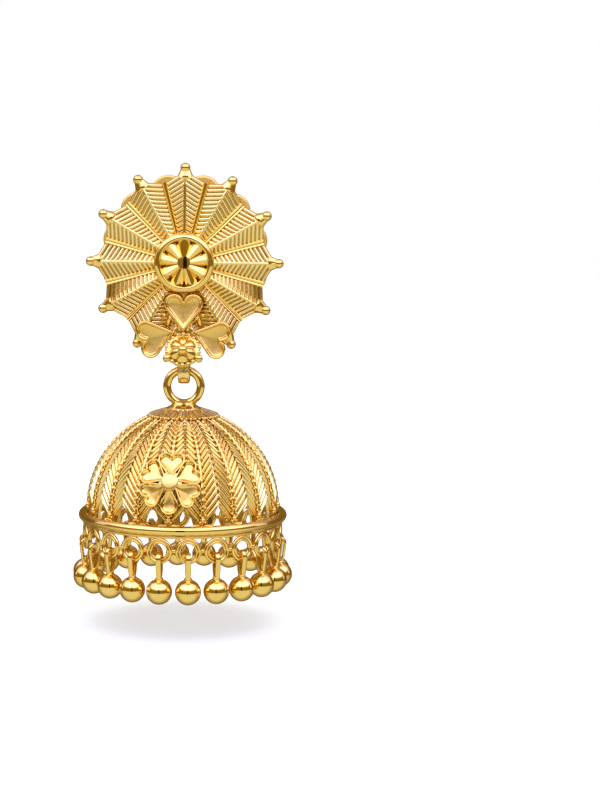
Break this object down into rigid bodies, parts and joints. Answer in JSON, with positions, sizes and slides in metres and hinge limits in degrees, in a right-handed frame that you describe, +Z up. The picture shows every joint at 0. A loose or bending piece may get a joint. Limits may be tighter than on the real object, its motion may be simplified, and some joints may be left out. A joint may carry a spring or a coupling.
{
  "type": "jhumka drop earring",
  "caption": "Stud earring with a fluted star, heart trefoil and ear post, from which a pierced ribbed dome with a flower and a fringe of ball drops swings on a ring.",
  "frame": {"origin": "where the ear post leaves the back of the stud, on the star's centre line", "axes": "+Z up, the earring's front faces -Y, the ear post points to +Y, +X to the right seen from the front"},
  "size_m": [0.0298, 0.0297, 0.0572],
  "materials": {
    "star_gold": "ribbed bright gold plate",
    "plate_gold": "pale polished gold plate",
    "post_gold": "polished gold plate",
    "button_gold": "mirror polished gold plate",
    "heart_gold": "satin gold plate with polished rims",
    "dome_gold": "ribbed bright gold plate",
    "flower_gold": "satin gold plate with polished rims",
    "wire_gold": "polished gold plated wire",
    "ball_gold": "mirror polished gold plate"
  },
  "bodies": {
    "stud": {"stud_star": "star_gold", "back_plate": "plate_gold", "ear_post": "post_gold", "stud_button": "button_gold", "heart_trefoil": "heart_gold", "stud_rosette": "button_gold"},
    "pendant": {"cap_with_ring": "wire_gold", "dome": "dome_gold", "dome_flower": "flower_gold", "rim_gallery": "wire_gold", "drop_01": "ball_gold", "drop_02": "ball_gold", "drop_03": "ball_gold", "drop_04": "ball_gold", "drop_05": "ball_gold", "drop_06": "ball_gold", "drop_07": "ball_gold", "drop_08": "ball_gold", "drop_09": "ball_gold", "drop_10": "ball_gold", "drop_11": "ball_gold", "drop_12": "ball_gold", "drop_13": "ball_gold", "drop_14": "ball_gold", "drop_15": "ball_gold", "drop_16": "ball_gold", "drop_17": "ball_gold", "drop_18": "ball_gold", "drop_19": "ball_gold", "drop_20": "ball_gold", "drop_21": "ball_gold", "drop_22": "ball_gold"}
  },
  "joints": [
    {"name": "pendant_swing", "type": "hinge", "parent": "stud", "child": "pendant", "pos_m": [0, -0.00135, -0.01673], "axis": [0, 1, 0], "range_deg": [-70, 70]}
  ]
}
